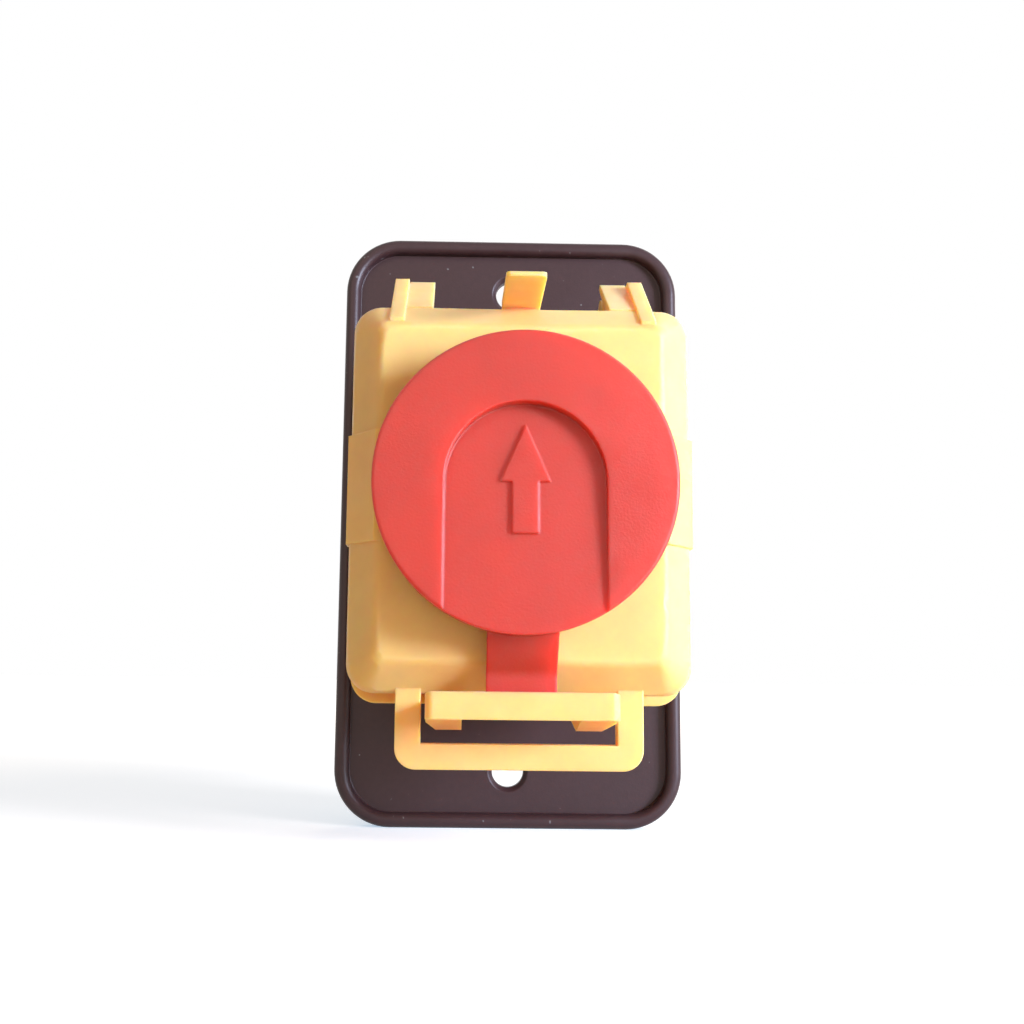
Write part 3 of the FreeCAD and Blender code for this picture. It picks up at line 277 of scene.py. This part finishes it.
def paint_nodes(nodes):
    """Gives every CAD node its material."""
    yellow = moulded_plastic("yellow_plastic", YELLOW, rough=0.40, grain=0.35 * MM, depth=0.012 * MM,
                             edge=0.35 * MM, glow=Glow(share=1.0, reach=6.0 * MM, colours=YELLOW_GLOW))
    red = moulded_plastic("red_plastic", RED, rough=0.46, grain=0.36 * MM, depth=0.030 * MM,
                          edge=0.5 * MM, gloss=0.45,
                          glow=Glow(share=1.0, reach=8.0 * MM, colours=RED_GLOW))
    case = moulded_plastic("case_plastic", BLACK_CASE, rough=0.45, grain=0.30 * MM, depth=0.015 * MM,
                           edge=0.2 * MM)
    natural = moulded_plastic("carrier_plastic", NATURAL, rough=0.42, grain=0.4 * MM, depth=0.006 * MM,
                              edge=0.15 * MM, glow=Glow(share=0.1, reach=3.0 * MM, colours=NATURAL_GLOW))
    zinc = plain_metal("zinc_steel", STEEL, rough=0.34)
    wire = plain_metal("pin_steel", STEEL, rough=0.24)
    iron = plain_metal("magnet_steel", IRON, rough=0.42)
    brass = plain_metal("brass", BRASS, rough=0.30)
    finishes = {
        "base_plate": plate_plastic("black_plastic", BLACK_PLATE),
        "flap_cover": yellow, "hinge_frame": yellow,
        "mushroom_head": red, "knob_retainer": red,
        "switch_body": case, "switch_bezel": case, "rear_cover": case,
        "start_button": button_plastic("green_plastic", BUTTON_GREEN),
        "stop_button": button_plastic("stop_plastic", BUTTON_RED),
        "contact_carrier": natural, "coil_bobbin": natural,
        "frame_screws": zinc, "bezel_screws": zinc, "retainer_screws": zinc,
        "hinge_pins": wire, "start_spring": wire, "stop_spring": wire,
        "magnet_core": iron, "armature": iron,
        "coil_winding": wound_copper("copper", COPPER, wire=0.3 * MM),
        "line_terminals": brass, "stop_terminals": brass, "moving_contacts": brass, "stop_contact": brass,
    }
    for name, material in finishes.items():
        for slot in nodes[name].material_slots:
            slot.material = material


# Shading

def shading_group(limit):
    """A node group that shades smooth, but keeps edges sharper than a limit crisp."""
    group = bpy.data.node_groups.new("smooth_by_angle", "GeometryNodeTree")
    group.interface.new_socket("Geometry", in_out="INPUT", socket_type="NodeSocketGeometry")
    group.interface.new_socket("Geometry", in_out="OUTPUT", socket_type="NodeSocketGeometry")
    start = group.nodes.new("NodeGroupInput")
    end = group.nodes.new("NodeGroupOutput")
    angle = group.nodes.new("GeometryNodeInputMeshEdgeAngle")
    below = group.nodes.new("FunctionNodeCompare")
    below.operation = "LESS_THAN"
    below.inputs["B"].default_value = limit
    bare = group.nodes.new("GeometryNodeRemoveAttribute")
    bare.inputs["Name"].default_value = "custom_normal"
    faces = group.nodes.new("GeometryNodeSetShadeSmooth")
    edges = group.nodes.new("GeometryNodeSetShadeSmooth")
    edges.domain = "EDGE"
    group.links.new(angle.outputs["Unsigned Angle"], below.inputs["A"])
    group.links.new(below.outputs["Result"], edges.inputs["Shade Smooth"])
    group.links.new(start.outputs["Geometry"], bare.inputs["Geometry"])
    group.links.new(bare.outputs["Geometry"], faces.inputs["Geometry"])
    group.links.new(faces.outputs["Geometry"], edges.inputs["Geometry"])
    group.links.new(edges.outputs["Geometry"], end.inputs["Geometry"])
    return group


def soften(obj, group):
    """Joins the faces and shades them smooth, so that narrow bevels look round and wide faces stay flat."""
    weld = obj.modifiers.new("weld", "WELD")
    weld.merge_threshold = WELD_DISTANCE
    flat = obj.modifiers.new("flat_faces", "DECIMATE")
    flat.decimate_type = "DISSOLVE"
    flat.angle_limit = FLAT_ANGLE
    smooth = obj.modifiers.new("shading", "NODES")
    smooth.node_group = group
    normals = obj.modifiers.new("normals", "WEIGHTED_NORMAL")
    normals.keep_sharp = True


def soften_nodes(nodes):
    """Softens the moulded pieces."""
    group = shading_group(CREASE_ANGLE)
    for name in SOFT_NODES:
        soften(nodes[name], group)


# Button signs

def neighbours(ring):
    """Each point of a closed ring with the one that follows it."""
    return zip(ring, ring[1:] + ring[:1])


def sign_mesh(name, outline, inner):
    """A flat raised sign in the XZ plane: an outline, with an inner outline cut out where there is one."""
    mesh = bpy.data.meshes.new(name)
    build = bmesh.new()
    rings = [outline] + ([inner] if inner else [])
    loops = [[[build.verts.new((x, -y, z)) for x, z in ring] for y in (0.0, SIGN_HEIGHT)] for ring in rings]
    for back, front in loops:
        for (back_one, back_next), (front_one, front_next) in zip(neighbours(back), neighbours(front)):
            build.faces.new((back_one, back_next, front_next, front_one))
    if inner:
        for outer_ring, inner_ring in zip(*loops):
            for (outer_one, outer_next), (inner_one, inner_next) in zip(neighbours(outer_ring),
                                                                        neighbours(inner_ring)):
                build.faces.new((outer_one, outer_next, inner_next, inner_one))
    else:
        for level in loops[0]:
            build.faces.new(level)
    bmesh.ops.recalc_face_normals(build, faces=build.faces)
    build.to_mesh(mesh)
    build.free()
    return bpy.data.objects.new(name, mesh)


def rectangle_points(half_width, half_length):
    """The corners of an upright rectangle round the origin."""
    return [(-half_width, -half_length), (half_width, -half_length),
            (half_width, half_length), (-half_width, half_length)]


def circle_points(radius):
    """Points of a circle round the origin."""
    angles = [2 * math.pi * step / RING_STEPS for step in range(RING_STEPS)]
    return [(radius * math.cos(angle), radius * math.sin(angle)) for angle in angles]


def add_signs():
    """The start bar and the stop ring on the fronts of the two buttons."""
    white = moulded_plastic("sign_white", WHITE, rough=0.4, grain=0.4 * MM, depth=0.004 * MM, edge=0.05 * MM)
    bar = rectangle_points(BAR_HALF_WIDTH, BAR_HALF_LENGTH)
    signs = [("start_sign", "start_button", "start_carriage", bar, None),
             ("stop_sign", "stop_button", "stop_plunger", circle_points(RING_OUTSIDE),
              circle_points(RING_INSIDE))]
    for name, button, body, outline, inner in signs:
        low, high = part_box(button)
        sign = sign_mesh(name, outline, inner)
        sign.location = ((low.x + high.x) / 2, low.y + SIGN_SEAT, (low.z + high.z) / 2)
        sign.data.materials.append(white)
        bpy.context.scene.collection.objects.link(sign)
        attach(sign, body)


# Springs

def add_springs(nodes):
    """Copies of the springs, fixed to the base, in the place of the stiff solids, which are hidden."""
    for name, joint in (("start_spring", "start_press"), ("stop_spring", "stop_press")):
        spring = bpy.data.objects.new("springy_" + name, nodes[name].data.copy())
        bpy.context.scene.collection.objects.link(spring)
        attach(spring, "base")
        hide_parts(name)
        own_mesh(spring)


# Camera, light and floor

def add_camera():
    """The camera at the photograph's viewing angle."""
    camera = bpy.data.cameras.new("camera")
    camera.sensor_width = SENSOR_WIDTH
    camera.lens = FOCAL_PIXELS * SENSOR_WIDTH / PHOTO_SIZE
    camera.shift_x = 0.5 - CENTRE_PIXEL[0] / PHOTO_SIZE
    camera.shift_y = CENTRE_PIXEL[1] / PHOTO_SIZE - 0.5
    camera.clip_start = NEAREST_VIEW
    holder = bpy.data.objects.new("camera", camera)
    holder.matrix_world = (Matrix.Translation(CAMERA_PLACE * MM)
                           @ Matrix.Rotation(math.radians(90 + CAMERA_PITCH), 4, "X")
                           @ Matrix.Rotation(math.radians(CAMERA_YAW), 4, "Y")
                           @ Matrix.Rotation(math.radians(CAMERA_ROLL), 4, "Z"))
    bpy.context.scene.collection.objects.link(holder)
    bpy.context.scene.camera = holder


def add_lamp(name, target, azimuth, elevation, distance, width, power, colour):
    """A square soft box that faces the target. Azimuth 0 is straight in front of it and 90 to its right."""
    lamp = bpy.data.lights.new(name, "AREA")
    lamp.size = width
    lamp.energy = power
    lamp.color = colour
    turn, rise = math.radians(azimuth), math.radians(elevation)
    way = Vector((math.sin(turn) * math.cos(rise), -math.cos(turn) * math.cos(rise), math.sin(rise)))
    holder = bpy.data.objects.new(name, lamp)
    holder.location = target + way * distance
    holder.rotation_euler = way.to_track_quat("Z", "Y").to_euler()
    bpy.context.scene.collection.objects.link(holder)


def add_lights(target):
    """A cool key from the right, a warm fill from the left and a lamp for the back."""
    add_lamp("key", target, azimuth=51, elevation=9, distance=0.45, width=0.15, power=4.2,
             colour=KEY_COLOUR)
    add_lamp("fill", target, azimuth=-22, elevation=28, distance=0.8, width=0.6, power=1.15,
             colour=FILL_COLOUR)
    add_lamp("back", target, azimuth=160, elevation=35, distance=0.8, width=0.5, power=1.6,
             colour=BACK_COLOUR)


def seen_directly(tree):
    """One for rays that show the background: straight from the camera, or by way of metal or glass."""
    path = tree.nodes.new("ShaderNodeLightPath")
    total = path.outputs["Is Camera Ray"]
    for kind in ("Is Glossy Ray", "Is Transmission Ray"):
        widest = tree.nodes.new("ShaderNodeMath")
        widest.operation = "MAXIMUM"
        tree.links.new(total, widest.inputs[0])
        tree.links.new(path.outputs[kind], widest.inputs[1])
        total = widest.outputs[0]
    return total


def floor_material():
    """A pale floor that looks white and keeps the object's shadow, which fades with the distance."""
    material, tree, shader = new_material("floor")
    shader.inputs["Base Color"].default_value = opaque(FLOOR)
    shader.inputs["Roughness"].default_value = FLOOR_ROUGHNESS
    distance = tree.nodes.new("ShaderNodeVectorMath")
    distance.operation = "LENGTH"
    tree.links.new(object_place(tree), distance.inputs[0])
    stops = [(LIFT_START, opaque(FLOOR_NEAR)), (LIFT_END, opaque(FLOOR_FAR))]
    tree.links.new(ramp(tree, distance.outputs["Value"], stops), shader.inputs["Emission Color"])
    tree.links.new(seen_directly(tree), shader.inputs["Emission Strength"])
    return material


def add_floor(lowest):
    """A plain square floor at the height of the object's lowest point."""
    corners = [(x, y, 0.0) for x, y in rectangle_points(FLOOR_REACH, FLOOR_REACH)]
    mesh = bpy.data.meshes.new("floor")
    mesh.from_pydata(corners, [], [range(len(corners))])
    mesh.materials.append(floor_material())
    floor = bpy.data.objects.new("floor", mesh)
    floor.location.z = lowest
    bpy.context.scene.collection.objects.link(floor)


def add_world():
    """An even studio: soft warm light from all sides, white where it is seen."""
    world = bpy.data.worlds.new("studio")
    world.use_nodes = True
    tree = world.node_tree
    backdrop = tree.nodes["Background"]
    backdrop.inputs["Color"].default_value = grey(1.0)
    around = tree.nodes.new("ShaderNodeBackground")
    around.inputs["Color"].default_value = opaque(AMBIENT)
    around.inputs["Strength"].default_value = AMBIENT_STRENGTH
    either = tree.nodes.new("ShaderNodeMixShader")
    tree.links.new(seen_directly(tree), either.inputs["Fac"])
    tree.links.new(around.outputs["Background"], either.inputs[1])
    tree.links.new(backdrop.outputs["Background"], either.inputs[2])
    tree.links.new(either.outputs["Shader"], tree.nodes["World Output"].inputs["Surface"])
    bpy.context.scene.world = world


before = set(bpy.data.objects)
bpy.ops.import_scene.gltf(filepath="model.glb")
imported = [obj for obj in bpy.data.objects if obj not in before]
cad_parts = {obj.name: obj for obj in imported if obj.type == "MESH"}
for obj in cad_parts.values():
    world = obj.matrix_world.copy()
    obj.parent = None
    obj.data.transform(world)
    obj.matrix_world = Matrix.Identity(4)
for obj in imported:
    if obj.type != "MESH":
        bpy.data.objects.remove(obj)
cad_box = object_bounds()
paint_nodes(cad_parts)
soften_nodes(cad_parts)
add_signs()
add_springs(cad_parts)
add_camera()
add_floor(cad_box[0].z)
add_world()
add_lights((cad_box[0] + cad_box[1]) / 2)
bpy.context.scene.view_settings.view_transform = "Standard"
